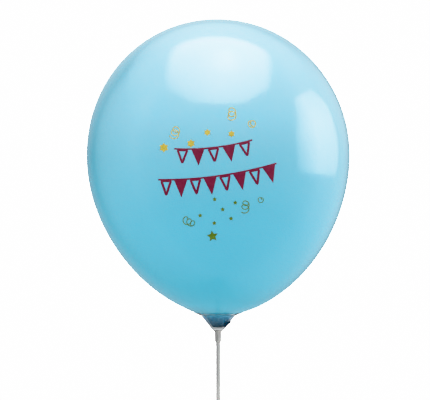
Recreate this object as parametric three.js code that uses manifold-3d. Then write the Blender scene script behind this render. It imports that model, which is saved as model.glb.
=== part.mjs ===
// A latex party balloon, blown up with air and held by its neck in a clear plastic cup on a hollow plastic stick.
//
// Millimetres, +Z up. The origin is the centre of the stick's lower end. The stick runs up +Z, and the side of the
// balloon that is printed faces -Y. The cup, the neck and the skin are made in a frame of their own, the head's,
// with z = 0 at the mouth of the cup's socket.
import * as THREE from "three";
import { mergeVertices } from "three/addons/utils/BufferGeometryUtils.js";
import Module from "manifold-3d";

const wasm = await Module();
wasm.setup();
const { degToRad, lerp, radToDeg } = THREE.MathUtils;

// Stick: a cut length of extruded tube.
const STICK_LENGTH = 400;
const STICK_RADIUS = 2.5;
const STICK_BORE_RADIUS = 1.8;

// Cup: a socket for the stick, a floor, a cone, and a shallow flare that the balloon sits in.
const SOCKET_RADIUS = 3.7;
const SOCKET_DEPTH = 13;
const SOCKET_CLEARANCE = 0.15; // all round the stick
const SOCKET_END_GAP = 0.5; // between the stick's top and the blind end of the socket
const SOCKET_CHAMFER = 0.3;
const FLOOR_THICKNESS = 1.5;
const FLOOR_RADIUS = 6.8;
const CUP_WALL = 0.8;
const SHOULDER_RADIUS = 17.8;
const RIM_RADIUS = 25.6;
const SEAT_GAP = 0.3; // between the flare and the skin
const GUSSET_HEIGHT = 2.6;
const GUSSET_WIDTH = 0.8;

// Slits: they part the flare and the cone into petals, and each one ends in a foot to one side, which hooks the neck.
const PETALS = 4;
const FIRST_SLIT = degToRad(-43); // this slit holds the neck, in front of +X
const SLIT_WIDTH = 1.8;
const SLIT_BOTTOM = 3.2; // above the underside of the floor
const SLIT_FOOT_LENGTH = 2.6;
const SLIT_FOOT_HEIGHT = 1.4;
const PETAL_CORNER = 4; // radius of a petal's corners at the rim

// Balloon: each half of its outline is a curve whose handles lie along the outline's direction at its two ends.
const BODY_RADIUS = 137.6;
const WIDEST_Z = 195;
const CROWN_Z = 337.3;
const CROWN_HANDLE = 77.9;
const UPPER_SIDE_HANDLE = 78.2;
const LOWER_SIDE_HANDLE = 73.4;
const NECK_ROOT_RADIUS = 16.5;
const NECK_ROOT_Z = 28.1;
const NECK_ROOT_HANDLE = 72.1;
const NECK_ROOT_SLOPE = degToRad(15);
const FILM = 0.05; // the stretched film
const FILM_AT_NECK = 0.25; // the film where the neck begins, which is hardly stretched

// Neck: gathered inside the cone into pleats, then flattened to a tongue that leaves through the first slit.
const NECK_TIP_RADIUS = 5.8;
const NECK_FULLNESS = 0.85; // below 1 the neck bellies out towards the cone
const NECK_ABOVE_FLOOR = 1; // the neck's lowest ring above the floor's top
const NECK_GAP = 0.3; // between the neck's top and the skin
const NECK_FOLDED_WALL = 1.4; // the wall where the pleats lie closest
const NECK_HOLLOW_FROM = 0.3; // how far up the neck the pleats open
const PLEATS = 8;
const PLEAT_DEPTH = 0.6;
const TONGUE_THICKNESS = 1.2;
const TONGUE_FROM = 5; // along the cone, from the floor's edge
const TONGUE_TO = 12.6;
const TONGUE_PROUD = 0.2; // how far the tongue stands out of the cone

// Lip: the rolled bead at the neck's mouth, squeezed to an oval that lies aslant on the outside of the cone.
const LIP_BEAD_RADIUS = 0.95;
const LIP_RADIUS = 1.3;
const LIP_STRETCH = 2;
const LIP_TILT = degToRad(33);
const LIP_GAP = 0.5; // between the bead and the cone
const LIP_ALONG_CONE = 9.2; // the lip's middle, up the cone from the floor's edge

const AROUND_BODY = 48;
const BODY_ROWS = 11; // in each half
const AROUND_CUP = 48;
const AROUND_STICK = 24;
const AROUND_NECK = 48;

const vec = (outwards, up) => new THREE.Vector2(outwards, up);

const LOWER_OUTLINE = new THREE.CubicBezierCurve(
  vec(NECK_ROOT_RADIUS, NECK_ROOT_Z),
  vec(
    NECK_ROOT_RADIUS + NECK_ROOT_HANDLE * Math.cos(NECK_ROOT_SLOPE),
    NECK_ROOT_Z + NECK_ROOT_HANDLE * Math.sin(NECK_ROOT_SLOPE),
  ),
  vec(BODY_RADIUS, WIDEST_Z - LOWER_SIDE_HANDLE),
  vec(BODY_RADIUS, WIDEST_Z),
);
const UPPER_OUTLINE = new THREE.CubicBezierCurve(
  vec(BODY_RADIUS, WIDEST_Z),
  vec(BODY_RADIUS, WIDEST_Z + UPPER_SIDE_HANDLE),
  vec(CROWN_HANDLE, CROWN_Z),
  vec(0, CROWN_Z),
);

// The cone's two ends in a plane through the axis, and the directions along it and square out of it.
const CONE_FOOT = vec(FLOOR_RADIUS, SOCKET_DEPTH);
const CONE_TOP = besideBody(SHOULDER_RADIUS, SEAT_GAP + CUP_WALL);
const UP_CONE = CONE_TOP.clone().sub(CONE_FOOT).normalize();
const OUT_OF_CONE = vec(UP_CONE.y, -UP_CONE.x);

const material = {
  latex: new THREE.MeshStandardMaterial({ color: 0x62c3e0, roughness: 0.22, metalness: 0 }),
  neckLatex: new THREE.MeshStandardMaterial({ color: 0x1a6fa3, roughness: 0.35, metalness: 0 }),
  lipLatex: new THREE.MeshStandardMaterial({ color: 0x0a1c33, roughness: 0.4, metalness: 0 }),
  clearPlastic: new THREE.MeshStandardMaterial({
    color: 0xdfe6ea,
    roughness: 0.15,
    metalness: 0,
    transparent: true,
    opacity: 0.4,
  }),
  whitePlastic: new THREE.MeshStandardMaterial({ color: 0xd6d5d1, roughness: 0.35, metalness: 0 }),
};

// The point of an outline at this share of its length in the curve's own measure, moved in square to the outline.
function outlinePoint(outline, share, inset) {
  const direction = outline.getTangent(share);
  return outline.getPoint(share).add(vec(-direction.y, direction.x).multiplyScalar(inset));
}

// The point on the skin's underside at this radius, moved out square to the skin.
function besideBody(radius, outset) {
  let share = 0;
  while (outlinePoint(LOWER_OUTLINE, share, -outset).x < radius) share += 0.001;
  return outlinePoint(LOWER_OUTLINE, share, -outset);
}

// A body of revolution about +Z, with its profile in an order that keeps the solid on the left.
function turned(profile, segments) {
  return new THREE.LatheGeometry(profile, segments).rotateX(Math.PI / 2);
}

// A flat shape in a plane through the axis, made into a plate that is centred on the plane. It stands on +X.
function plate(points, thickness) {
  return new THREE.ExtrudeGeometry(new THREE.Shape(points), { depth: thickness, bevelEnabled: false })
    .translate(0, 0, -thickness / 2)
    .rotateX(Math.PI / 2);
}

function solidFrom(geometry) {
  const bare = geometry.clone();
  bare.deleteAttribute("normal");
  bare.deleteAttribute("uv");
  const merged = mergeVertices(bare, 1e-4);
  return new wasm.Manifold(
    new wasm.Mesh({
      numProp: 3,
      vertProperties: merged.attributes.position.array,
      triVerts: new Uint32Array(merged.index.array),
    }),
  );
}

function geometryFrom(solid) {
  const mesh = solid.getMesh();
  const geometry = new THREE.BufferGeometry();
  geometry.setAttribute("position", new THREE.BufferAttribute(mesh.vertProperties, 3));
  geometry.setIndex(new THREE.BufferAttribute(mesh.triVerts, 1));
  geometry.computeVertexNormals();
  return geometry;
}

function named(name, geometry, look) {
  const mesh = new THREE.Mesh(geometry, look);
  mesh.name = name;
  return mesh;
}

// The film gets thinner as the body widens away from the neck.
function filmAt(radius) {
  return Math.max(FILM, FILM_AT_NECK * (NECK_ROOT_RADIUS / Math.max(radius, NECK_ROOT_RADIUS)) ** 2);
}

// The inflated skin, open where the neck begins.
function skin() {
  const outside = [];
  const inside = [];
  for (let row = 0; row <= 2 * BODY_ROWS; row++) {
    const upper = row > BODY_ROWS;
    const outline = upper ? UPPER_OUTLINE : LOWER_OUTLINE;
    const share = row / BODY_ROWS - (upper ? 1 : 0);
    const point = outlinePoint(outline, share, 0);
    const film = upper ? FILM : filmAt(point.x);
    outside.push(vec(Math.max(0, point.x), point.y));
    inside.unshift(outlinePoint(outline, share, film));
  }
  outside[outside.length - 1].x = 0;
  inside[0].x = 0;
  return turned([...outside, ...inside, outside[0].clone()], AROUND_BODY);
}

// One face of the flare, from the shoulder to the rim, at this distance from the skin.
function flareFace(outset) {
  const STEPS = 3;
  return Array.from({ length: STEPS + 1 }, (_, step) =>
    besideBody(lerp(SHOULDER_RADIUS, RIM_RADIUS, step / STEPS), outset),
  );
}

// The cup before it is slit.
function cupBlank() {
  const bore = STICK_RADIUS + SOCKET_CLEARANCE;
  const floorTop = SOCKET_DEPTH + FLOOR_THICKNESS;
  const insideFoot = CONE_FOOT.clone().addScaledVector(OUT_OF_CONE, -CUP_WALL);
  const floorEdge = insideFoot.clone().addScaledVector(UP_CONE, (floorTop - insideFoot.y) / UP_CONE.y);
  return turned(
    [
      vec(0, SOCKET_DEPTH),
      vec(bore, SOCKET_DEPTH),
      vec(bore, SOCKET_CHAMFER),
      vec(bore + SOCKET_CHAMFER, 0),
      vec(SOCKET_RADIUS - SOCKET_CHAMFER, 0),
      vec(SOCKET_RADIUS, SOCKET_CHAMFER),
      vec(SOCKET_RADIUS, SOCKET_DEPTH),
      CONE_FOOT,
      ...flareFace(SEAT_GAP + CUP_WALL),
      ...flareFace(SEAT_GAP).reverse(),
      floorEdge,
      vec(0, floorTop),
    ],
    AROUND_CUP,
  );
}

// What parts two petals: a slot seen from above that opens in two round corners at the rim, and a foot at its bottom.
function slitCutter() {
  const PAST_RIM = 3;
  const half = SLIT_WIDTH / 2;
  const corner = RIM_RADIUS + 0.5 - PETAL_CORNER;
  const end = corner + PETAL_CORNER + PAST_RIM;
  const bottom = SOCKET_DEPTH + SLIT_BOTTOM;
  const outline = new THREE.Shape();
  outline.moveTo(STICK_RADIUS, -half);
  outline.lineTo(corner, -half);
  outline.absarc(corner, -half - PETAL_CORNER, PETAL_CORNER, Math.PI / 2, 0, true);
  outline.lineTo(end, -half - PETAL_CORNER);
  outline.lineTo(end, half + PETAL_CORNER);
  outline.lineTo(corner + PETAL_CORNER, half + PETAL_CORNER);
  outline.absarc(corner, half + PETAL_CORNER, PETAL_CORNER, 0, -Math.PI / 2, true);
  outline.lineTo(STICK_RADIUS, half);
  outline.closePath();
  const slot = new THREE.ExtrudeGeometry(outline, {
    depth: CONE_TOP.y,
    bevelEnabled: false,
    curveSegments: 6,
  }).translate(0, 0, bottom);
  const footEnd = half + SLIT_FOOT_LENGTH;
  const foot = new THREE.BoxGeometry(SHOULDER_RADIUS, footEnd, SLIT_FOOT_HEIGHT).translate(
    STICK_RADIUS + SHOULDER_RADIUS / 2,
    footEnd / 2,
    bottom + SLIT_FOOT_HEIGHT / 2,
  );
  return solidFrom(slot).add(solidFrom(foot));
}

// A rib under the floor, standing on +X.
function gusset() {
  const inner = SOCKET_RADIUS - 0.4;
  const outer = FLOOR_RADIUS - 0.3;
  const buried = SOCKET_DEPTH + 0.4;
  return plate(
    [
      vec(inner, SOCKET_DEPTH - GUSSET_HEIGHT),
      vec(SOCKET_RADIUS, SOCKET_DEPTH - GUSSET_HEIGHT),
      vec(outer, SOCKET_DEPTH),
      vec(outer, buried),
      vec(inner, buried),
    ],
    GUSSET_WIDTH,
  );
}

function cup() {
  const cutter = slitCutter();
  const rib = solidFrom(gusset());
  let solid = solidFrom(cupBlank());
  for (let petal = 0; petal < PETALS; petal++) {
    const slitTurn = radToDeg(FIRST_SLIT) + (360 / PETALS) * petal;
    solid = solid.subtract(cutter.rotate([0, 0, slitTurn]));
    solid = solid.add(rib.rotate([0, 0, slitTurn + 180 / PETALS]));
  }
  return geometryFrom(solid);
}

const NECK_BOTTOM = SOCKET_DEPTH + FLOOR_THICKNESS + NECK_ABOVE_FLOOR;
const NECK_HEIGHT = NECK_ROOT_Z - NECK_GAP - NECK_BOTTOM;

// A point of the neck at this share of its height, moved in by the wall.
function neckPoint(share, wall) {
  const radius = lerp(NECK_TIP_RADIUS, NECK_ROOT_RADIUS, share ** NECK_FULLNESS);
  return vec(radius - wall, NECK_BOTTOM + NECK_HEIGHT * share);
}

// Draws a turned funnel into pleats, deepest at its bottom.
function pleated(geometry) {
  const position = geometry.attributes.position;
  for (let i = 0; i < position.count; i++) {
    const [x, y, z] = [position.getX(i), position.getY(i), position.getZ(i)];
    const radius = Math.hypot(x, y);
    if (radius < 1) continue;
    const depth = PLEAT_DEPTH * Math.min(1, 1 - (z - NECK_BOTTOM) / NECK_HEIGHT);
    const drawn = 1 + (depth * Math.cos(PLEATS * Math.atan2(y, x))) / radius;
    position.setXY(i, x * drawn, y * drawn);
  }
  return geometry;
}

// The gathered neck, turned so that the first slit is on +X.
function neck() {
  const STEPS = 5;
  const outside = [];
  const inside = [];
  for (let step = 0; step <= STEPS; step++) {
    const share = step / STEPS;
    outside.push(neckPoint(share, 0));
    inside.unshift(neckPoint(lerp(NECK_HOLLOW_FROM, 1, share), lerp(NECK_FOLDED_WALL, FILM_AT_NECK, share)));
  }
  const pit = vec(0, inside[STEPS].y);
  const funnel = pleated(turned([vec(0, NECK_BOTTOM - 0.3), ...outside, ...inside, pit], AROUND_NECK));
  const crossing = (along) =>
    CONE_FOOT.clone().addScaledVector(UP_CONE, along).addScaledVector(OUT_OF_CONE, TONGUE_PROUD);
  const low = crossing(TONGUE_FROM);
  const high = crossing(TONGUE_TO);
  const buried = neckPoint((low.y - NECK_BOTTOM) / NECK_HEIGHT, 1).x;
  const tongue = plate([vec(buried, low.y), low, high, vec(buried + 4, high.y)], TONGUE_THICKNESS);
  return geometryFrom(solidFrom(funnel).add(solidFrom(tongue)));
}

function lip() {
  const bead = new THREE.TorusGeometry(LIP_RADIUS, LIP_BEAD_RADIUS, 10, 24).scale(LIP_STRETCH, 1, 1);
  const mesh = named("neck_lip", bead.rotateZ(LIP_TILT), material.lipLatex);
  const middle = CONE_FOOT.clone()
    .addScaledVector(UP_CONE, LIP_ALONG_CONE)
    .addScaledVector(OUT_OF_CONE, LIP_GAP + LIP_BEAD_RADIUS);
  mesh.position.set(middle.x, 0, middle.y);
  mesh.rotation.y = -Math.atan2(UP_CONE.y, UP_CONE.x);
  return mesh;
}

function stick() {
  return turned(
    [
      vec(STICK_BORE_RADIUS, 0),
      vec(STICK_RADIUS, 0),
      vec(STICK_RADIUS, STICK_LENGTH),
      vec(STICK_BORE_RADIUS, STICK_LENGTH),
      vec(STICK_BORE_RADIUS, 0),
    ],
    AROUND_STICK,
  );
}

const neckAndLip = new THREE.Group();
neckAndLip.rotation.z = FIRST_SLIT;
neckAndLip.add(named("balloon_neck", neck(), material.neckLatex), lip());

const head = new THREE.Group();
head.position.z = STICK_LENGTH + SOCKET_END_GAP - SOCKET_DEPTH;
head.add(
  named("cup", cup(), material.clearPlastic),
  neckAndLip,
  named("balloon_skin", skin(), material.latex),
);

const balloonOnStick = new THREE.Group();
balloonOnStick.add(named("stick", stick(), material.whitePlastic), head);

export default balloonOnStick;
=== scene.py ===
"""A latex party balloon in a clear cup on a hollow stick: the visual model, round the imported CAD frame.

Metres, +Z up, the printed side faces -Y. The object's sizes are given in millimetres through mm(), and those of
the lights, the floor and the camera are in metres.
"""
import math
import random

import bmesh
import bpy
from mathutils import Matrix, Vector, noise


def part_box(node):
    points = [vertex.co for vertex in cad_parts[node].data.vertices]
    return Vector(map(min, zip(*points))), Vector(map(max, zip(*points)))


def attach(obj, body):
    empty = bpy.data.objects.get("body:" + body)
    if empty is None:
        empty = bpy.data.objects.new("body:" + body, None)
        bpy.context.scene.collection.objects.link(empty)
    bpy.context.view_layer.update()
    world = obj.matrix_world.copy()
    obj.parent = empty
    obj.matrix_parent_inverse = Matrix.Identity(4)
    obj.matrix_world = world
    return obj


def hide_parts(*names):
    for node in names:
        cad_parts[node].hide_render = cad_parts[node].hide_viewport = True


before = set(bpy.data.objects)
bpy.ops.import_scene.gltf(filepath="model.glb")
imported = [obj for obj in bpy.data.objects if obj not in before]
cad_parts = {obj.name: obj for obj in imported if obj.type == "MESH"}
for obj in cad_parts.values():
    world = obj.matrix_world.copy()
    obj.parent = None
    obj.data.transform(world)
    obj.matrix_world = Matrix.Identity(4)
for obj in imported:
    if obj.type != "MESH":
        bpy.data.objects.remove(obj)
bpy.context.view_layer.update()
scene = bpy.context.scene
random.seed(11)


def mm(value):
    return value / 1000


# ---------------------------------------------------------------- places, from the CAD
skin_lo, skin_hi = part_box("balloon_skin")
cup_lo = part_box("cup")[0]
stick_lo, stick_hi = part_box("stick")
neck_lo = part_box("balloon_neck")[0]
MOUTH_Z = cup_lo.z  # the mouth of the socket
FLOOR_Z = MOUTH_Z + mm(13)  # the underside of the cup's floor
NECK_ROOT_Z = skin_lo.z
CROWN_Z = skin_hi.z
WIDEST_Z = MOUTH_Z + mm(195)
SOCKET_RADIUS = mm(3.7)
STICK_RADIUS = mm(2.5)
BODY_RADIUS = mm(137.6)
NECK_ROOT_RADIUS = mm(16.5)


def lerp(a, b, t):
    return a + (b - a) * t


def smooth(t):
    t = min(1, max(0, t))
    return t * t * (3 - 2 * t)


def bezier(p, t):
    u = 1 - t
    return tuple(u**3 * a + 3 * u * u * t * b + 3 * u * t * t * c + t**3 * d for a, b, c, d in zip(*p))


# ---------------------------------------------------------------- the balloon's outline
SLOPE = math.radians(15)
LOWER = (
    (NECK_ROOT_RADIUS, NECK_ROOT_Z),
    (NECK_ROOT_RADIUS + mm(72.1) * math.cos(SLOPE), NECK_ROOT_Z + mm(72.1) * math.sin(SLOPE)),
    (BODY_RADIUS, WIDEST_Z - mm(73.4)),
    (BODY_RADIUS, WIDEST_Z),
)
UPPER = (
    (BODY_RADIUS, WIDEST_Z),
    (BODY_RADIUS, WIDEST_Z + mm(78.2)),
    (mm(77.9), CROWN_Z),
    (0, CROWN_Z),
)
OUTLINE = [bezier(LOWER, i / 400) for i in range(400)] + [bezier(UPPER, i / 400) for i in range(401)]


def outline_at(z):
    """The body's radius at this height, and how fast it grows with height."""
    lo, hi = 0, len(OUTLINE) - 1
    while hi - lo > 1:
        mid = (lo + hi) // 2
        if OUTLINE[mid][1] <= z:
            lo = mid
        else:
            hi = mid
    (ra, za), (rb, zb) = OUTLINE[lo], OUTLINE[hi]
    t = (z - za) / max(zb - za, 1e-9)
    return lerp(ra, rb, t), (rb - ra) / max(zb - za, 1e-9)


def lean(z):
    """How far the body's middle stands to the right: a little way low down, and to the left high up."""
    low = smooth((z - NECK_ROOT_Z) / mm(9)) * (1 - smooth((z - NECK_ROOT_Z - mm(9)) / mm(135)))
    high = smooth((z - WIDEST_Z) / (CROWN_Z - WIDEST_Z))
    return mm(2.0) * low - mm(1.2) * high


def on_body(x, z, out=0.0):
    """The point on the printed side of the body at this x and height, moved out square to the skin."""
    radius, growth = outline_at(z)
    dx = x - lean(z)
    dy = -math.sqrt(max(radius * radius - dx * dx, 1e-12))
    normal = Vector((dx, dy, -radius * growth)).normalized()
    return Vector((x, dy, z)) + normal * out


# ---------------------------------------------------------------- mesh helpers
def new_object(name, verts, faces, material, smooth_shading=True):
    mesh = bpy.data.meshes.new(name)
    mesh.from_pydata([tuple(v) for v in verts], [], faces)
    mesh.validate()
    bm = bmesh.new()
    bm.from_mesh(mesh)
    bmesh.ops.recalc_face_normals(bm, faces=bm.faces)
    bm.to_mesh(mesh)
    bm.free()
    for polygon in mesh.polygons:
        polygon.use_smooth = smooth_shading
    mesh.materials.append(material)
    obj = bpy.data.objects.new(name, mesh)
    scene.collection.objects.link(obj)
    return obj


class Skin:
    """Collects closed sheets of rings as one mesh."""

    def __init__(self):
        self.verts = []
        self.faces = []

    def rings(self, rings, closed_path=False):
        """Joins rings of equal count. A ring may be a single point, which closes the sheet there."""
        starts = []
        for ring in rings:
            starts.append((len(self.verts), len(ring)))
            self.verts.extend(ring)
        pairs = list(zip(starts, starts[1:]))
        if closed_path:
            pairs.append((starts[-1], starts[0]))
        for (a, na), (b, nb) in pairs:
            n = max(na, nb)
            for i in range(n):
                j = (i + 1) % n
                quad = [
                    a + (i if na > 1 else 0),
                    a + (j if na > 1 else 0),
                    b + (j if nb > 1 else 0),
                    b + (i if nb > 1 else 0),
                ]
                face = [v for k, v in enumerate(quad) if v not in quad[:k]]
                if len(face) >= 3:
                    self.faces.append(face)

    def build(self, name, material):
        return new_object(name, self.verts, self.faces, material)


def turned(profile, around, shift=lambda z: 0.0, swell=lambda theta, z: 0.0):
    """Rings of a body of revolution. A profile point with no radius becomes one point."""
    rings = []
    for radius, z in profile:
        if radius < 1e-7:
            rings.append([Vector((shift(z), 0, z))])
            continue
        ring = []
        for i in range(around):
            theta = 2 * math.pi * i / around
            r = radius + swell(theta, z)
            ring.append(Vector((shift(z) + r * math.cos(theta), r * math.sin(theta), z)))
        rings.append(ring)
    return rings


# ---------------------------------------------------------------- materials
def nodes_of(name):
    material = bpy.data.materials.new(name)
    material.use_nodes = True
    tree = material.node_tree
    principled = next(n for n in tree.nodes if n.type == "BSDF_PRINCIPLED")
    return material, tree, principled


def add(tree, kind, **settings):
    node = tree.nodes.new(kind)
    for key, value in settings.items():
        setattr(node, key, value)
    return node


def place(tree):
    return add(tree, "ShaderNodeTexCoord").outputs["Object"]


def noise_node(tree, vector, scale, detail=2.0, roughness=0.5, stretch=None):
    if stretch is not None:
        mapping = add(tree, "ShaderNodeMapping")
        mapping.inputs["Scale"].default_value = stretch
        tree.links.new(vector, mapping.inputs["Vector"])
        vector = mapping.outputs[0]
    node = add(tree, "ShaderNodeTexNoise")
    node.inputs["Scale"].default_value = scale
    node.inputs["Detail"].default_value = detail
    node.inputs["Roughness"].default_value = roughness
    tree.links.new(vector, node.inputs["Vector"])
    return node.outputs["Fac"]


def radial_noise(tree, scale):
    """Noise that changes only around the axis, so that it runs like folds gathered at the neck."""
    level = add(tree, "ShaderNodeVectorMath", operation="MULTIPLY")
    tree.links.new(place(tree), level.inputs[0])
    level.inputs[1].default_value = (1, 1, 0)
    around = add(tree, "ShaderNodeVectorMath", operation="NORMALIZE")
    tree.links.new(level.outputs[0], around.inputs[0])
    return noise_node(tree, around.outputs[0], scale, 2)


def ramp(tree, factor, stops, interpolation="LINEAR"):
    node = add(tree, "ShaderNodeValToRGB")
    node.color_ramp.interpolation = interpolation
    elements = node.color_ramp.elements
    while len(elements) > 1:
        elements.remove(elements[-1])
    elements[0].position, elements[0].color = stops[0][0], (*stops[0][1], 1)
    for position, colour in stops[1:]:
        elements.new(position).color = (*colour, 1)
    tree.links.new(factor, node.inputs["Fac"])
    return node.outputs["Color"]


def grey(tree, share, stops):
    return ramp(tree, share, [(s, (v, v, v)) for s, v in stops])


def map_range(tree, value, from_lo, from_hi, to_lo, to_hi):
    node = add(tree, "ShaderNodeMapRange")
    for key, number in zip(("From Min", "From Max", "To Min", "To Max"), (from_lo, from_hi, to_lo, to_hi)):
        node.inputs[key].default_value = number
    tree.links.new(value, node.inputs["Value"])
    return node.outputs["Result"]


def mix_colour(tree, factor, a, b, blend="MIX"):
    node = add(tree, "ShaderNodeMix", data_type="RGBA", blend_type=blend)
    for socket, value in ((node.inputs[0], factor), (node.inputs[6], a), (node.inputs[7], b)):
        if isinstance(value, (int, float)):
            socket.default_value = value
        elif isinstance(value, tuple):
            socket.default_value = (*value, 1)
        else:
            tree.links.new(value, socket)
    return node.outputs[2]


def math_node(tree, operation, a, b=None):
    node = add(tree, "ShaderNodeMath", operation=operation)
    for socket, value in zip(node.inputs, (a, b)):
        if isinstance(value, (int, float)):
            socket.default_value = value
        elif value is not None:
            tree.links.new(value, socket)
    return node.outputs[0]


def bump(tree, principled, height, strength, distance):
    node = add(tree, "ShaderNodeBump")
    node.inputs["Strength"].default_value = strength
    node.inputs["Distance"].default_value = distance
    tree.links.new(height, node.inputs["Height"])
    tree.links.new(node.outputs[0], principled.inputs["Normal"])


def height_of(tree):
    split = add(tree, "ShaderNodeSeparateXYZ")
    tree.links.new(place(tree), split.inputs[0])
    return split.outputs["Z"]


LATEX_FULL = (0.0735, 0.494, 0.678)


def latex_material():
    material, tree, p = nodes_of("stretched_latex")
    z = height_of(tree)
    share = map_range(tree, z, NECK_ROOT_Z, CROWN_Z, 0, 1)
    # Brightness by height painted into the colour: a little lighter just above the neck, and darker towards the
    # crown, which is painted shade where less scattered light reaches the top.
    depth = [(0.0, 1.0), (0.011, 1.18), (0.05, 1.03), (0.3, 1.03), (0.6, 0.88)]
    colour = ramp(tree, share, [(s, tuple(v * c for c in LATEX_FULL)) for s, v in depth])
    cloudy = noise_node(tree, place(tree), 14, 3)
    clouds = map_range(tree, cloudy, 0.3, 0.7, 0.0, 1.0)
    colour = mix_colour(tree, clouds, colour, (0.965, 0.98, 0.985), "MULTIPLY")
    # Darker streaks round the axis near the neck: painted shade along the folds that run into the body's
    # bottom.
    fold_shade = grey(tree, radial_noise(tree, 11), [(0.34, 0.80), (0.5, 1.0), (0.66, 0.92)])
    near_neck = map_range(tree, share, 0.0, 0.045, 0.8, 0.0)
    colour = mix_colour(tree, near_neck, colour, mix_colour(tree, 1.0, colour, fold_shade, "MULTIPLY"))
    tree.links.new(colour, p.inputs["Base Color"])
    shiny = map_range(tree, noise_node(tree, place(tree), 60, 2), 0.3, 0.7, 0.09, 0.15)
    dull = map_range(tree, share, 0.0, 0.16, 0.10, 0.0)
    tree.links.new(math_node(tree, "ADD", shiny, dull), p.inputs["Roughness"])
    p.inputs["IOR"].default_value = 1.52
    p.inputs["Subsurface Weight"].default_value = 0.2
    p.inputs["Subsurface Radius"].default_value = (0.6, 0.9, 1.0)
    p.inputs["Subsurface Scale"].default_value = 0.05
    bump(tree, p, noise_node(tree, place(tree), 180, 2), 0.05, mm(0.3))
    return material


def neck_material():
    material, tree, p = nodes_of("gathered_latex")
    z = height_of(tree)
    share = map_range(tree, z, neck_lo.z, NECK_ROOT_Z, 0, 1)
    # Darker towards the bottom and striped along the folds: partly the thicker, less stretched latex there and
    # partly painted shade inside the cup and between the folds.
    colour = ramp(
        tree,
        share,
        [
            (0.0, (0.004, 0.040, 0.062)),
            (0.5, (0.006, 0.160, 0.305)),
            (0.8, (0.006, 0.250, 0.450)),
            (1.0, (0.030, 0.430, 0.640)),
        ],
    )
    folds = radial_noise(tree, 9)
    shade = grey(tree, folds, [(0.36, 0.58), (0.46, 0.92), (0.54, 1.06), (0.66, 0.84)])
    tree.links.new(mix_colour(tree, 1.0, colour, shade, "MULTIPLY"), p.inputs["Base Color"])
    uneven = noise_node(tree, place(tree), 300, 2)
    tree.links.new(map_range(tree, uneven, 0.3, 0.7, 0.25, 0.4), p.inputs["Roughness"])
    p.inputs["IOR"].default_value = 1.52
    bump(tree, p, noise_node(tree, place(tree), 900, 2, stretch=(1, 1, 0.2)), 0.2, mm(0.2))
    return material


def lip_material():
    material, tree, p = nodes_of("rolled_latex")
    fac = noise_node(tree, place(tree), 500, 2)
    colour = mix_colour(tree, fac, (0.0020, 0.010, 0.022), (0.004, 0.018, 0.034))
    tree.links.new(colour, p.inputs["Base Color"])
    tree.links.new(map_range(tree, fac, 0.3, 0.7, 0.28, 0.42), p.inputs["Roughness"])
    p.inputs["IOR"].default_value = 1.52
    p.inputs["Specular IOR Level"].default_value = 0.15
    bump(tree, p, noise_node(tree, place(tree), 1200, 2), 0.25, mm(0.1))
    return material


# Well below real polystyrene's 1.59. It is fitted to how the cup's edges look in the photograph.
CUP_BENDING = 1.07


def clear_plastic():
    """Clear in the petals, and a little greyer towards the cup's floor."""
    material, tree, p = nodes_of("clear_moulded_plastic")
    fac = noise_node(tree, place(tree), 220, 3)
    share = map_range(tree, height_of(tree), MOUTH_Z, MOUTH_Z + mm(40), 0, 1)
    colour = ramp(
        tree,
        share,
        [
            (0.33, (0.46, 0.485, 0.495)),
            (0.43, (0.84, 0.87, 0.88)),
            (0.74, (0.985, 0.99, 0.995)),
        ],
    )
    clouds = map_range(tree, fac, 0.3, 0.7, 0.0, 1.0)
    colour = mix_colour(tree, clouds, colour, (0.96, 0.965, 0.97), "MULTIPLY")
    tree.links.new(colour, p.inputs["Base Color"])
    tree.links.new(map_range(tree, fac, 0.3, 0.7, 0.04, 0.10), p.inputs["Roughness"])
    p.inputs["IOR"].default_value = CUP_BENDING
    p.inputs["Transmission Weight"].default_value = 0.97
    bump(tree, p, fac, 0.08, mm(0.2))
    return material


def milky_plastic():
    """The same plastic where it is thick around the stick: cloudy, and scuffed by the fit."""
    material, tree, p = nodes_of("milky_moulded_plastic")
    fac = noise_node(tree, place(tree), 220, 3)
    clouds = map_range(tree, fac, 0.3, 0.7, 0.0, 1.0)
    colour = mix_colour(tree, clouds, (0.83, 0.825, 0.805), (0.74, 0.735, 0.715))
    tree.links.new(colour, p.inputs["Base Color"])
    tree.links.new(map_range(tree, fac, 0.3, 0.7, 0.3, 0.42), p.inputs["Roughness"])
    p.inputs["IOR"].default_value = 1.2
    p.inputs["Transmission Weight"].default_value = 0.45
    bump(tree, p, fac, 0.08, mm(0.2))
    return material


def white_plastic():
    material, tree, p = nodes_of("extruded_plastic")
    drawn = noise_node(tree, place(tree), 900, 3, stretch=(1, 1, 0.01))
    cloudy = noise_node(tree, place(tree), 40, 2)
    colour = mix_colour(tree, cloudy, (0.56, 0.555, 0.535), (0.64, 0.635, 0.62))
    colour = mix_colour(tree, map_range(tree, drawn, 0.45, 0.75, 0.0, 0.3), colour, (0.48, 0.472, 0.45))
    tree.links.new(colour, p.inputs["Base Color"])
    tree.links.new(map_range(tree, drawn, 0.3, 0.7, 0.28, 0.4), p.inputs["Roughness"])
    p.inputs["IOR"].default_value = 1.49
    p.inputs["Specular IOR Level"].default_value = 0.2
    bump(tree, p, drawn, 0.12, mm(0.1))
    return material


def ink(name, dark, light):
    material, tree, p = nodes_of(name)
    fac = noise_node(tree, place(tree), 260, 3)
    patches = map_range(tree, fac, 0.3, 0.7, 0, 1)
    tree.links.new(mix_colour(tree, patches, dark, light), p.inputs["Base Color"])
    tree.links.new(map_range(tree, fac, 0.3, 0.7, 0.5, 0.65), p.inputs["Roughness"])
    p.inputs["Specular IOR Level"].default_value = 0.1
    bump(tree, p, noise_node(tree, place(tree), 1500, 2), 0.15, mm(0.05))
    return material


# ---------------------------------------------------------------- the balloon
latex = latex_material()
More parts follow.
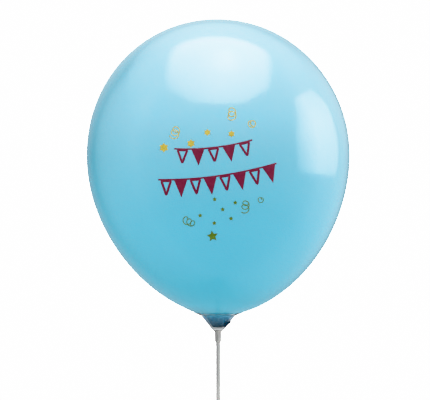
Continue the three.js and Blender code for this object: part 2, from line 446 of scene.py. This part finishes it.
# The folds are three waves round the axis, each as (folds, share, phase).
FOLDS = ((9, 0.40), (14, 0.35), (23, 0.25))
PLEAT_WAVES = [(folds, share, random.uniform(0, 6.28)) for folds, share in FOLDS]


def pleat(theta):
    """How far the folds stand out at this angle, between about -1 and 1."""
    return sum(share * math.cos(count * theta + phase) for count, share, phase in PLEAT_WAVES)


def body_swell(theta, z):
    """The folds of the neck run out into the body's bottom and fade."""
    return mm(0.16) * (1 - smooth((z - NECK_ROOT_Z) / mm(14))) * pleat(theta)


def spaced(curve, count):
    """Points the same distance apart along a curve."""
    dense = [bezier(curve, i / 2000) for i in range(2001)]
    lengths = [0.0]
    for (ra, za), (rb, zb) in zip(dense, dense[1:]):
        lengths.append(lengths[-1] + math.hypot(rb - ra, zb - za))
    out = []
    k = 0
    for i in range(count + 1):
        want = lengths[-1] * i / count
        while k < 1999 and lengths[k + 1] < want:
            k += 1
        t = (want - lengths[k]) / max(lengths[k + 1] - lengths[k], 1e-12)
        out.append((lerp(dense[k][0], dense[k + 1][0], t), lerp(dense[k][1], dense[k + 1][1], t)))
    return out


def make_body():
    profile = spaced(LOWER, 76) + spaced(UPPER, 70)[1:]
    profile[-1] = (0.0, CROWN_Z)
    inner_floor = [
        (0.0, NECK_ROOT_Z + mm(1.2)),
        (NECK_ROOT_RADIUS * 0.6, NECK_ROOT_Z + mm(1.0)),
        (NECK_ROOT_RADIUS * 0.93, NECK_ROOT_Z + mm(0.4)),
    ]
    skin = Skin()
    skin.rings(turned(inner_floor + profile, 192, shift=lean, swell=body_swell))
    body = skin.build("latex_body", latex)
    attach(body, "balloon_head")
    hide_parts("balloon_skin")


make_body()

# The cup's own directions, in a plane through the axis: along its cone and square out of it.
CONE_FOOT = (mm(6.8), FLOOR_Z)
CONE_TOP = (mm(17.8), FLOOR_Z + mm(13.87))
cone_length = math.hypot(CONE_TOP[0] - CONE_FOOT[0], CONE_TOP[1] - CONE_FOOT[1])
UP = ((CONE_TOP[0] - CONE_FOOT[0]) / cone_length, (CONE_TOP[1] - CONE_FOOT[1]) / cone_length)
OUT = (UP[1], -UP[0])
SLIT = math.radians(-43)
WALL = mm(0.8)


def cone_point(along, out):
    return (CONE_FOOT[0] + UP[0] * along + OUT[0] * out, CONE_FOOT[1] + UP[1] * along + OUT[1] * out)


def cone_inside(z):
    """The inner radius of the cup's cone at this height."""
    return CONE_FOOT[0] + (z - FLOOR_Z) * UP[0] / UP[1] - WALL / UP[1]


def at_slit(radius, side, z, angle=SLIT):
    """A point given out from the axis, sideways and up, in the plane of the slit."""
    c, s = math.cos(angle), math.sin(angle)
    return Vector((radius * c - side * s, radius * s + side * c, z))


def make_neck():
    bottom = neck_lo.z + mm(0.3)
    height = NECK_ROOT_Z - bottom

    def swell(theta, z):
        share = 1 - (z - bottom) / height
        return mm(0.16 + 0.55 * smooth(share * 1.6)) * pleat(theta) * (0.45 if share > 0.93 else 1)

    profile = [(0.0, bottom - mm(0.25)), (mm(2.4), bottom - mm(0.2)), (mm(4.4), bottom)]
    for i in range(27):
        share = (i + 0.6) / 26.6
        z = bottom + height * share
        free = cone_inside(z) - mm(lerp(1.05, 0.5, share))
        profile.append((min(free, NECK_ROOT_RADIUS - mm(0.4) + mm(0.4) * smooth((share - 0.7) / 0.3)), z))
    profile += [(NECK_ROOT_RADIUS * 0.9, NECK_ROOT_Z + mm(0.3)), (0.0, NECK_ROOT_Z + mm(0.5))]
    skin = Skin()
    skin.rings(turned(profile, 160, swell=swell))
    add_tongue(skin, bottom)
    neck = skin.build("gathered_neck", neck_material())
    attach(neck, "balloon_head")
    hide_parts("balloon_neck")


def add_tongue(skin, bottom):
    """The flattened end of the neck, which leaves through the slit."""
    rings = []
    steps = 14
    for i in range(steps + 1):
        t = i / steps
        along = lerp(7.8, 9.2, t)
        edge = cone_point(mm(along), mm(1.1))
        root = (mm(6.4), bottom + mm(3.2))
        r, z = lerp(root[0], edge[0], t), lerp(root[1], edge[1], smooth(t))
        half = mm(lerp(2.0, 3.5, smooth(t)))
        thick = mm(0.58)
        ring = []
        for k in range(28):
            phi = 2 * math.pi * k / 28
            up = half * math.copysign(abs(math.cos(phi)) ** 0.7, math.cos(phi))
            side = thick * math.sin(phi) + mm(0.10) * math.sin(5 * math.cos(phi) * 2 + 6 * t)
            ring.append(at_slit(r + UP[0] * up, side, z + UP[1] * up))
        rings.append(ring)
    ends = [sum(ring, Vector()) / len(ring) for ring in (rings[0], rings[-1])]
    skin.rings([[ends[0]]] + rings + [[ends[1]]])


def make_lip():
    tilt = math.radians(33)
    middle = cone_point(mm(9.2), mm(1.45))
    long_half = mm(3.35)
    short_half = mm(1.25)
    skin = Skin()
    rings = []
    count = 72
    for i in range(count):
        a = 2 * math.pi * i / count
        pinch = 1 - 0.35 * math.exp(-((math.cos(a)) / 0.45) ** 2)
        path = Vector((
            long_half * math.cos(a),
            short_half * math.sin(a) * pinch,
            mm(0.18) * math.sin(2 * a + 0.6),
        ))
        forward = Vector((-long_half * math.sin(a), short_half * math.cos(a), 0)).normalized()
        side = Vector((forward.y, -forward.x, 0))
        bead = mm(0.92) * (1 + 0.07 * math.sin(3 * a + 1.1) + 0.04 * math.sin(7 * a))
        ring = []
        for k in range(16):
            phi = 2 * math.pi * k / 16
            p = path + side * (bead * math.cos(phi)) + Vector((0, 0, 1)) * (bead * 0.95 * math.sin(phi))
            x = p.x * math.cos(tilt) - p.y * math.sin(tilt)
            y = p.x * math.sin(tilt) + p.y * math.cos(tilt)
            radius = middle[0] + UP[0] * x + OUT[0] * p.z
            ring.append(at_slit(radius, y, middle[1] + UP[1] * x + OUT[1] * p.z))
        rings.append(ring)
    skin.rings(rings, closed_path=True)
    lip = skin.build("rolled_lip", lip_material())
    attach(lip, "balloon_head")
    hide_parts("neck_lip")


make_neck()
make_lip()

# ---------------------------------------------------------------- the cup
SEAT = mm(0.3)
PETALS = 4
SHOULDER_RADIUS = mm(17.8)
RIM_RADIUS = mm(25.6)


def beside_body(radius, outset):
    t = 0.0
    while True:
        r, z = bezier(LOWER, t)
        r2, z2 = bezier(LOWER, t + 1e-4)
        length = math.hypot(r2 - r, z2 - z)
        nr, nz = (z2 - z) / length, -(r2 - r) / length
        if r + nr * outset >= radius:
            return (r + nr * outset, z + nz * outset)
        t += 0.0005


def arc(centre, radius, start, end, steps):
    return [
        (
            centre[0] + radius * math.cos(math.radians(lerp(start, end, i / steps))),
            centre[1] + radius * math.sin(math.radians(lerp(start, end, i / steps))),
        )
        for i in range(steps + 1)
    ]


def with_bend(foot, flare):
    """Up the cone from its foot and out along the flare, with the bend between them eased."""
    corner = flare[0]
    reach = mm(2.6)
    length = math.dist(foot, corner)
    near = tuple(lerp(c, f, reach / length) for c, f in zip(corner, foot))
    beyond = [p for p in flare if math.dist(p, corner) > reach]
    points = [tuple(lerp(f, n, i / 8) for f, n in zip(foot, near)) for i in range(1, 9)]
    for i in range(1, 7):
        t = i / 7
        u = 1 - t
        ends = zip(near, corner, beyond[0])
        points.append(tuple(u * u * n + 2 * t * u * c + t * t * b for n, c, b in ends))
    return points + beyond


def cup_profile():
    bore = mm(2.65)
    socket = SOCKET_RADIUS
    floor_top = FLOOR_Z + mm(1.5)
    inside_foot = cone_point(0, -WALL)
    climb = (floor_top - inside_foot[1]) / UP[1]
    floor_edge = (inside_foot[0] + UP[0] * climb, floor_top)
    flare_out = []
    flare_in = []
    for i in range(11):
        radius = lerp(SHOULDER_RADIUS, RIM_RADIUS, i / 10)
        flare_out.append(beside_body(radius, SEAT + lerp(WALL, mm(0.22), i / 10)))
        flare_in.append(beside_body(radius, SEAT))
    tip_out = flare_out[-1]
    tip_in = flare_in[-1]
    tip = ((tip_out[0] + tip_in[0]) / 2 + mm(0.1), (tip_out[1] + tip_in[1]) / 2)
    outside = with_bend(CONE_FOOT, flare_out)
    inside = with_bend(floor_edge, flare_in)
    foot_round = [
        (CONE_FOOT[0] - mm(0.5), CONE_FOOT[1]),
        (CONE_FOOT[0] - mm(0.12), CONE_FOOT[1] + mm(0.06)),
        (CONE_FOOT[0] + mm(0.18), CONE_FOOT[1] + mm(0.3)),
    ]
    blind_end = [(0.0, FLOOR_Z - mm(0.02)), (bore * 0.8, FLOOR_Z), (bore, FLOOR_Z - mm(0.3))]
    mouth = [
        (bore, MOUTH_Z + mm(0.5)),
        (bore + mm(0.12), MOUTH_Z + mm(0.16)),
        (bore + mm(0.35), MOUTH_Z),
        (socket - mm(0.35), MOUTH_Z),
        (socket - mm(0.1), MOUTH_Z + mm(0.1)),
        (socket, MOUTH_Z + mm(0.35)),
    ]
    root = [
        (socket, FLOOR_Z - mm(0.8)),
        (socket + mm(0.15), FLOOR_Z - mm(0.25)),
        (socket + mm(0.6), FLOOR_Z),
    ]
    profile = blind_end + mouth + root
    profile += foot_round + outside + [tip] + list(reversed(inside))
    profile += [floor_edge, (floor_edge[0] * 0.6, floor_top), (0.0, floor_top)]
    return profile


def applied(obj):
    """Puts the object's modifiers into its mesh."""
    depsgraph = bpy.context.evaluated_depsgraph_get()
    mesh = bpy.data.meshes.new_from_object(obj.evaluated_get(depsgraph))
    obj.modifiers.clear()
    obj.data = mesh
    return obj


def prism(points, low, high):
    """A closed upright prism on these (x, y) points."""
    n = len(points)
    verts = [Vector((x, y, low)) for x, y in points] + [Vector((x, y, high)) for x, y in points]
    faces = [list(range(n)), list(range(n, 2 * n))]
    faces += [[i, (i + 1) % n, n + (i + 1) % n, n + i] for i in range(n)]
    return verts, faces


def slit_outline():
    half = mm(0.9)
    fillet = mm(4)
    corner = RIM_RADIUS + mm(0.5) - fillet
    end = corner + fillet + mm(3)
    start = mm(2.9)
    lower = arc((corner, -half - fillet), fillet, 90, 0, 10)
    upper = arc((corner, half + fillet), fillet, 0, -90, 10)
    return [(start, -half)] + lower + [(end, -half - fillet), (end, half + fillet)] + upper + [(start, half)]


def gusset(turn):
    """A thin upright plate between the socket and the floor, as points and faces."""
    profile = [
        (mm(3.3), FLOOR_Z - mm(2.6)),
        (mm(3.75), FLOOR_Z - mm(2.6)),
        (mm(6.5), FLOOR_Z - mm(0.05)),
        (mm(6.5), FLOOR_Z + mm(0.4)),
        (mm(3.3), FLOOR_Z + mm(0.4)),
    ]
    n = len(profile)
    verts = [at_slit(r, side, z, turn) for side in (-mm(0.4), mm(0.4)) for r, z in profile]
    faces = [list(range(n)), list(range(n, 2 * n))]
    faces += [[i, (i + 1) % n, n + (i + 1) % n, n + i] for i in range(n)]
    return verts, faces


def make_cup():
    plastic = clear_plastic()
    skin = Skin()
    skin.rings(turned(cup_profile(), 160))
    blank = skin.build("clear_cup", plastic)
    cutters = []
    for petal in range(PETALS):
        turn = SLIT + math.radians(90) * petal
        c, s = math.cos(turn), math.sin(turn)
        slot_points = [(x * c - y * s, x * s + y * c) for x, y in slit_outline()]
        bottom = FLOOR_Z + mm(3.2)
        cutters.append(new_object(f"cut_slot_{petal}", *prism(slot_points, bottom, bottom + mm(30)), plastic))
        foot = [(mm(4.5), mm(0.2)), (mm(22), mm(0.2)), (mm(22), mm(3.5)), (mm(4.5), mm(3.5))]
        foot = [(x * c - y * s, x * s + y * c) for x, y in foot]
        cutters.append(new_object(f"cut_foot_{petal}", *prism(foot, bottom, bottom + mm(1.4)), plastic))
    for cutter in cutters:
        cut = blank.modifiers.new("cut", "BOOLEAN")
        cut.operation = "DIFFERENCE"
        cut.solver = "EXACT"
        cut.object = cutter
    applied(blank)
    for petal in range(PETALS):
        turn = SLIT + math.radians(90) * (petal + 0.5)
        rib = new_object(f"cut_rib_{petal}", *gusset(turn), plastic)
        cutters.append(rib)
        join = blank.modifiers.new("join", "BOOLEAN")
        join.operation = "UNION"
        join.solver = "EXACT"
        join.object = rib
    applied(blank)
    bevel = blank.modifiers.new("bevel", "BEVEL")
    bevel.width = mm(0.10)
    bevel.segments = 2
    bevel.limit_method = "ANGLE"
    bevel.angle_limit = math.radians(42)
    applied(blank)
    for cutter in cutters:
        bpy.data.objects.remove(cutter)
    blank.data.materials.append(milky_plastic())
    for polygon in blank.data.polygons:
        polygon.use_smooth = True
        polygon.material_index = 1 if polygon.center.z < FLOOR_Z - mm(0.3) else 0
    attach(blank, "balloon_head")
    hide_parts("cup")


make_cup()


# ---------------------------------------------------------------- the stick
def make_stick():
    outer = STICK_RADIUS
    bore = mm(1.8)
    edge = mm(0.14)
    top = stick_hi.z
    rows = 60
    profile = [(bore, edge), (bore + edge, 0.0), (outer - edge, 0.0), (outer, edge)]
    profile += [(outer, lerp(edge, top - edge, i / rows)) for i in range(1, rows)]
    profile += [(outer, top - edge), (outer - edge, top), (bore + edge, top), (bore, top - edge)]
    profile += [(bore, lerp(top - edge, edge, i / rows)) for i in range(1, rows)]
    skin = Skin()
    skin.rings(turned(profile, 48), closed_path=True)
    stick = skin.build("hollow_stick", white_plastic())
    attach(stick, "stick")
    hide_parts("stick")


make_stick()

# ---------------------------------------------------------------- the print
INK_RISE = mm(0.11)


class Print(Skin):
    """Ink shapes on the printed side, drawn as (x, z) in millimetres from the axis and the widest level."""

    def lay(self, x, z, rise):
        return on_body(mm(x), WIDEST_Z + mm(z), rise)

    def stroke(self, points, width, closed=False, cut=0.0):
        path = evenly(clipped(points, cut, closed), 0.8, closed)
        n = len(path)
        rings = []

        def ring(p, normal, half, rise):
            return [
                self.lay(
                    p[0] + normal[0] * half * math.cos(phi),
                    p[1] + normal[1] * half * math.cos(phi),
                    rise * math.sin(phi),
                )
                for phi in (2 * math.pi * k / 10 for k in range(10))
            ]

        for i, p in enumerate(path):
            a = path[(i - 1) % n] if closed or i else path[0]
            b = path[(i + 1) % n] if closed or i < n - 1 else path[-1]
            dx, dz = b[0] - a[0], b[1] - a[1]
            length = math.hypot(dx, dz) or 1
            normal = (-dz / length, dx / length)
            if not closed and i in (0, n - 1):
                sign = -1 if i == 0 else 1
                caps = []
                for angle in (20, 45, 70):
                    reach = math.sin(math.radians(angle)) * width / 2 * sign
                    q = (p[0] + dx / length * reach, p[1] + dz / length * reach)
                    caps.append(ring(q, normal, width / 2 * math.cos(math.radians(angle)), INK_RISE))
                tip = (p[0] + dx / length * width / 2 * sign, p[1] + dz / length * width / 2 * sign)
                caps.append([self.lay(*tip, 0)])
                body = [ring(p, normal, width / 2, INK_RISE)]
                rings.extend(list(reversed(caps)) + body if i == 0 else body + caps)
            else:
                rings.append(ring(p, normal, width / 2, INK_RISE))
        self.rings(rings, closed_path=closed)

    def fill(self, outline, centre):
        def ring(share, rise):
            return [
                self.lay(lerp(centre[0], x, share), lerp(centre[1], z, share), rise) for x, z in outline
            ]

        self.rings(
            [
                [self.lay(*centre, -INK_RISE)],
                ring(0.5, -INK_RISE),
                ring(0.88, -INK_RISE),
                ring(1.0, 0.0),
                ring(0.93, INK_RISE * 0.8),
                ring(0.8, INK_RISE),
                ring(0.4, INK_RISE),
                [self.lay(*centre, INK_RISE)],
            ]
        )

    def star(self, x, z, size, points=5, turn=0.0, depth=0.45):
        outline = []
        for k in range(points * 2):
            r = size / 2 * (1 if k % 2 == 0 else depth)
            a = math.radians(90 + turn) + math.pi * k / points
            outline.append((x + r * math.cos(a), z + r * math.sin(a)))
        self.fill(outline, (x, z))

    def curl(self, x, z, radius, loops, pitch, width, tilt=0.0, start=0.0):
        """A curl of paper streamer: loops that run on along a line at this tilt."""
        points = []
        steps = int(26 * loops)
        for k in range(steps + 1):
            t = k / steps
            a = start + 2 * math.pi * loops * t
            px = radius * math.cos(a) * 0.8 + pitch * loops * (t - 0.5)
            pz = radius * math.sin(a) * lerp(1.0, 0.75, t)
            along = px * math.cos(tilt) - pz * math.sin(tilt)
            up = px * math.sin(tilt) + pz * math.cos(tilt)
            points.append((x + along, z + up))
        self.stroke(points, width)


def clipped(points, cut, closed=False):
    """The same path with each corner replaced by a short curve that starts this far from it."""
    if not cut:
        return points
    out = []
    n = len(points)
    for i, p in enumerate(points):
        if not closed and i in (0, n - 1):
            out.append(p)
            continue
        before, after = points[i - 1], points[(i + 1) % n]
        ta, tb = cut / math.dist(p, before), cut / math.dist(p, after)
        start = (lerp(p[0], before[0], ta), lerp(p[1], before[1], ta))
        end = (lerp(p[0], after[0], tb), lerp(p[1], after[1], tb))
        for t in (0.0, 0.25, 0.5, 0.75, 1.0):
            u = 1 - t
            out.append(tuple(u * u * a + 2 * u * t * b + t * t * c for a, b, c in zip(start, p, end)))
    return out


def evenly(points, step, closed=False):
    """Points this far apart along the same path."""
    loop = points + points[:1] if closed else points
    lengths = [0.0]
    for a, b in zip(loop, loop[1:]):
        lengths.append(lengths[-1] + math.dist(a, b))
    count = max(2, round(lengths[-1] / step))
    out = []
    k = 0
    for i in range(count if closed else count + 1):
        want = lengths[-1] * i / count
        while k < len(loop) - 2 and lengths[k + 1] < want:
            k += 1
        t = (want - lengths[k]) / max(lengths[k + 1] - lengths[k], 1e-9)
        out.append((lerp(loop[k][0], loop[k + 1][0], t), lerp(loop[k][1], loop[k + 1][1], t)))
    return out


def garland(ink_print, start, end, flags, sag, flag_width, drop, width):
    """Pennants on a string between two points, every other one only an outline."""

    def string(t):
        return lerp(start[0], end[0], t), lerp(start[1], end[1], t) - sag * 4 * t * (1 - t)

    ink_print.stroke([string(k / 24) for k in range(25)], width * 0.7)
    for k in range(flags):
        t = (k + 0.5) / flags
        x, z = string(t)
        a, b = string(t - 0.02), string(t + 0.02)
        tilt = math.atan2(b[1] - a[1], b[0] - a[0])
        c, s = math.cos(tilt), math.sin(tilt)

        def hung(points):
            return [(x + px * c - pz * s, z + px * s + pz * c) for px, pz in points]

        if k % 2:
            corners = hung([(-flag_width / 2, -0.3), (flag_width / 2, -0.3), (0, -drop)])
            ink_print.fill(evenly(clipped(corners, 0.5, True), 0.8, True), hung([(0, -drop * 0.33)])[0])
        else:
            inset = width / 2
            half = flag_width / 2 - inset * 1.6
            corners = hung([(-half, -inset), (half, -inset), (0, -drop + inset * 2.4)])
            ink_print.stroke(corners, width, closed=True, cut=0.9)


crimson = Print()
garland(crimson, (-43, 4.0), (33, 12.5), 5, 3.2, 13.0, 16.5, 2.2)
garland(crimson, (-59, -26.5), (57, -10.5), 8, 4.5, 13.2, 18.0, 2.3)
crimson_ink = ink("crimson_ink", (0.145, 0.022, 0.045), (0.20, 0.035, 0.065))
crimson_print = crimson.build("crimson_print", crimson_ink)

gold = Print()
for x, z, size in ((-54.0, 5.2, 9.6), (-27.0, 9.2, 8.4), (-10.8, 20.0, 7.0), (13.0, 18.6, 7.0)):
    gold.star(x, z, size, points=6, depth=0.66)
olive = Print()
for x, z in ((-3.6, -46.0), (16.8, -49.3), (4.3, -56.0), (-18.0, -62.0), (12.6, -65.0), (-4.0, -69.6)):
    olive.star(x, z, 4.6, depth=0.55)
olive.star(-5.8, -82.6, 11.5, turn=8, depth=0.5)
gold.curl(-42.5, 20.5, radius=4.4, loops=2.3, pitch=3.4, width=0.85, tilt=1.2, start=2.0)
gold.curl(13.6, 38.4, radius=4.3, loops=2.3, pitch=3.6, width=0.85, tilt=1.55, start=0.6)
gold.curl(33.6, 28.6, radius=3.8, loops=1.5, pitch=2.2, width=0.85, tilt=0.4, start=1.0)
olive.curl(-29.0, -68.6, radius=3.8, loops=2.6, pitch=4.0, width=0.85, tilt=-0.45, start=0.4)
olive.curl(27.0, -52.6, radius=4.0, loops=2.3, pitch=3.8, width=0.85, tilt=1.4, start=2.4)
olive.curl(42.0, -46.8, radius=2.9, loops=1.3, pitch=1.6, width=0.7, tilt=0.2, start=0.0)
gold_print = gold.build("gold_print", ink("gold_ink", (0.52, 0.42, 0.070), (0.62, 0.52, 0.13)))
olive_print = olive.build("olive_gold_print", ink("olive_gold_ink", (0.10, 0.165, 0.022), (0.15, 0.22, 0.05)))
for piece in (crimson_print, gold_print, olive_print):
    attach(piece, "balloon_head")


# ---------------------------------------------------------------- stage
WHITE = 12.0
# The room that gloss sees, as (degrees up, brightness) from its floor to its ceiling. These levels and the
# panels' are fitted to this one photograph: they were chosen with the brightness of its reflections in view.
CAMERA_SIDE = ((-90, 1.5), (-35, 2.5), (0, 4.5), (45, 8.5), (90, 10.5))
FAR_SIDE = ((-90, 1.0), (0, 0.5), (30, 1.5), (60, 7.5), (90, 8.0))
BRIGHT_SIDE_TURN = 12  # degrees that the bright side faces to the right of the camera
FAR_SIDE_FROM = 90  # degrees round from the bright side, where one side turns into the other
FAR_SIDE_TO = 150
SOFT_LIGHT = 1.0
THROUGH_PLASTIC = 1.25  # the white straight behind clear plastic
BENT_ASIDE = 0.3  # the white off to the sides of it, which darkens the cup's edges


def set_world():
    """White for the camera, a two-sided room for gloss, and one even level for scattered light.

    Behind clear plastic the white is full straight behind the object and falls off to the sides.
    """
    world = bpy.data.worlds.new("studio")
    scene.world = world
    world.use_nodes = True
    world.cycles.sampling_method = "NONE"
    tree = world.node_tree
    background = tree.nodes["Background"]
    path = add(tree, "ShaderNodeLightPath")
    direction = add(tree, "ShaderNodeSeparateXYZ")
    tree.links.new(add(tree, "ShaderNodeTexCoord").outputs["Generated"], direction.inputs[0])
    x, y, z = (direction.outputs[axis] for axis in "XYZ")
    heading = math_node(tree, "ARCTAN2", x, math_node(tree, "MULTIPLY", y, -1.0))
    around = math_node(tree, "ABSOLUTE", math_node(tree, "SUBTRACT", heading, math.radians(BRIGHT_SIDE_TURN)))
    share = map_range(tree, math_node(tree, "ARCSINE", z), -math.pi / 2, math.pi / 2, 0, 1)
    near = grey(tree, share, [((up + 90) / 180, level / WHITE) for up, level in CAMERA_SIDE])
    far = grey(tree, share, [((up + 90) / 180, level / WHITE) for up, level in FAR_SIDE])
    turn = map_range(tree, around, math.radians(FAR_SIDE_FROM), math.radians(FAR_SIDE_TO), 0, 1)
    gloss = mix_colour(tree, turn, near, far)
    soft = SOFT_LIGHT / WHITE
    scattered = math_node(tree, "GREATER_THAN", path.outputs["Diffuse Depth"], 0.5)
    light = mix_colour(tree, scattered, gloss, (soft, soft, soft))
    bounced = math_node(tree, "ADD", path.outputs["Diffuse Depth"], path.outputs["Glossy Depth"])
    straight = math_node(tree, "LESS_THAN", bounced, 0.5)
    passed = math_node(tree, "GREATER_THAN", path.outputs["Transmission Depth"], 0.5)
    straight_behind = map_range(tree, y, math.cos(math.radians(35)), math.cos(math.radians(10)), 0, 1)
    through = grey(tree, straight_behind, [(0.0, BENT_ASIDE / WHITE), (1.0, THROUGH_PLASTIC / WHITE)])
    backdrop = mix_colour(tree, passed, (1.0, 1.0, 1.0), through)
    tree.links.new(mix_colour(tree, straight, light, backdrop), background.inputs["Color"])
    background.inputs["Strength"].default_value = WHITE


set_world()


def glow_panel(name, outline, centre, at, facing, strength, brightness, softness):
    """A softly edged panel that only gloss sees.

    Brightness is a function from a place on the panel to how bright it is there.
    """
    material = bpy.data.materials.new(name)
    material.use_nodes = True
    tree = material.node_tree
    tree.nodes.clear()
    out = add(tree, "ShaderNodeOutputMaterial")
    emission = add(tree, "ShaderNodeEmission")
    emission.inputs["Strength"].default_value = strength
    tree.links.new(brightness(tree, place(tree)), emission.inputs["Color"])
    edge = add(tree, "ShaderNodeAttribute", attribute_name="edge")
    clear = add(tree, "ShaderNodeBsdfTransparent")
    mix = add(tree, "ShaderNodeMixShader")
    tree.links.new(map_range(tree, edge.outputs["Fac"], 0.0, softness, 0, 1), mix.inputs[0])
    tree.links.new(clear.outputs[0], mix.inputs[1])
    tree.links.new(emission.outputs[0], mix.inputs[2])
    tree.links.new(mix.outputs[0], out.inputs["Surface"])
    n = len(outline)
    levels = 14
    verts = [Vector((centre[0], centre[1], 0))]
    values = [1.0]
    faces = []
    for level in range(1, levels + 1):
        share = level / levels
        for x, y in outline:
            verts.append(Vector((lerp(centre[0], x, share), lerp(centre[1], y, share), 0)))
            values.append(1 - share)
    for i in range(n):
        faces.append([0, 1 + i, 1 + (i + 1) % n])
        for level in range(levels - 1):
            a, b = 1 + level * n, 1 + (level + 1) * n
            faces.append([a + i, b + i, b + (i + 1) % n, a + (i + 1) % n])
    obj = new_object(name, verts, faces, material)
    attribute = obj.data.attributes.new("edge", "FLOAT", "POINT")
    for i, value in enumerate(values):
        attribute.data[i].value = value
    obj.location = at
    obj.rotation_euler = facing
    obj.visible_camera = obj.visible_diffuse = obj.visible_shadow = obj.visible_transmission = False


def top_brightness(tree, position):
    squeezed = add(tree, "ShaderNodeVectorMath", operation="MULTIPLY")
    tree.links.new(position, squeezed.inputs[0])
    squeezed.inputs[1].default_value = (1.15, 0.85, 1.0)
    from_brightest = add(tree, "ShaderNodeVectorMath", operation="DISTANCE")
    tree.links.new(squeezed.outputs[0], from_brightest.inputs[0])
    from_brightest.inputs[1].default_value = (0.10, -0.16, 0)
    return grey(tree, from_brightest.outputs["Value"], [(0.0, 1.0), (0.2, 0.65), (0.9, 0.3)])


def right_brightness(tree, position):
    split = add(tree, "ShaderNodeSeparateXYZ")
    tree.links.new(position, split.inputs[0])
    across = map_range(tree, split.outputs["X"], -0.7, 0.7, 0, 1)
    upward = map_range(tree, split.outputs["Y"], -0.3, 1.1, 0, 1)
    sideways = grey(tree, across, [(0.0, 0.55), (0.42, 1.0), (0.9, 0.45)])
    by_height = grey(tree, upward, [(0.0, 0.5), (0.5, 1.0), (0.9, 0.85)])
    return mix_colour(tree, 1.0, sideways, by_height, "MULTIPLY")


# Overhead, wider towards the camera. Its own x and y are the room's.
TOP_PANEL = [
    (-0.36, 0.32),
    (0.46, 0.28),
    (0.75, -0.45),
    (0.5, -1.02),
    (0.0, -1.14),
    (-0.5, -1.02),
    (-0.75, -0.45),
]
glow_panel(
    "top_panel",
    outline=evenly(clipped(TOP_PANEL, 0.12, True), 0.05, True),
    centre=(0.0, -0.35),
    at=Vector((0, 0, WIDEST_Z + 0.85)),
    facing=(0, 0, 0),
    strength=39,
    brightness=top_brightness,
    softness=0.15,
)
# To the right. Its own x runs away from the camera and its y runs up.
RIGHT_PANEL = [(-0.8, -0.3), (0.64, -0.2), (0.66, 0.58), (0.4, 0.88), (-0.4, 1.02), (-0.8, 0.3)]
right_turn = math.radians(12)
right_at = Vector((0.1, -0.085, 0.6)) + 1.3 * Vector((math.cos(right_turn), math.sin(right_turn), 0))
glow_panel(
    "right_panel",
    outline=evenly(clipped(RIGHT_PANEL, 0.12, True), 0.05, True),
    centre=(0.08, 0.3),
    at=right_at,
    facing=(math.radians(90), 0, math.radians(90) + right_turn),
    strength=17.4,
    brightness=right_brightness,
    softness=0.07,
)


def make_flag():
    """A dark half tube to the left of the stick, which only keeps soft light off it."""
    material, tree, p = nodes_of("black_cloth")
    p.inputs["Base Color"].default_value = (0.02, 0.02, 0.02, 1)
    p.inputs["Roughness"].default_value = 1.0
    radius = mm(45)
    steps = 24
    angles = [math.radians(lerp(100, 262, i / steps)) for i in range(steps + 1)]
    around = [(radius * math.cos(a), radius * math.sin(a)) for a in angles]
    verts = [Vector((x, y, z)) for z in (mm(335), mm(402)) for x, y in around]
    faces = [[i, i + 1, steps + 2 + i, steps + 1 + i] for i in range(steps)]
    flag = new_object("stick_flag", verts, faces, material)
    flag.visible_camera = flag.visible_glossy = flag.visible_transmission = flag.visible_shadow = False


make_flag()


def make_floor():
    """A pale round floor that fades out towards its edge."""
    material = bpy.data.materials.new("floor")
    material.use_nodes = True
    tree = material.node_tree
    p = next(n for n in tree.nodes if n.type == "BSDF_PRINCIPLED")
    out = next(n for n in tree.nodes if n.type == "OUTPUT_MATERIAL")
    p.inputs["Base Color"].default_value = (0.86, 0.86, 0.85, 1)
    p.inputs["Roughness"].default_value = 0.7
    length = add(tree, "ShaderNodeVectorMath", operation="LENGTH")
    tree.links.new(place(tree), length.inputs[0])
    clear = add(tree, "ShaderNodeBsdfTransparent")
    mix = add(tree, "ShaderNodeMixShader")
    tree.links.new(map_range(tree, length.outputs["Value"], 0.35, 1.3, 0, 1), mix.inputs[0])
    tree.links.new(p.outputs[0], mix.inputs[1])
    tree.links.new(clear.outputs[0], mix.inputs[2])
    tree.links.new(mix.outputs[0], out.inputs["Surface"])
    radius = 1.35
    angles = [2 * math.pi * k / 96 for k in range(96)]
    ring = [Vector((radius * math.cos(a), radius * math.sin(a), 0)) for a in angles]
    floor = new_object("studio_floor", ring, [list(range(96))], material)
    floor.location.z = stick_lo.z - mm(0.5)
    floor.visible_glossy = False


make_floor()

CAMERA_DISTANCE = 2.4
VIEW_WIDTH = mm(449.6)  # at the balloon's axis
SENSOR_WIDTH = 36

camera_data = bpy.data.cameras.new("camera")
camera = bpy.data.objects.new("camera", camera_data)
scene.collection.objects.link(camera)
camera.location = (mm(-3.3), -CAMERA_DISTANCE, mm(535.9))
camera.rotation_euler = (math.radians(90), 0, 0)
camera_data.sensor_width = SENSOR_WIDTH
camera_data.lens = SENSOR_WIDTH * CAMERA_DISTANCE / VIEW_WIDTH
camera_data.clip_end = 50
scene.camera = camera

scene.view_settings.view_transform = "Khronos PBR Neutral"
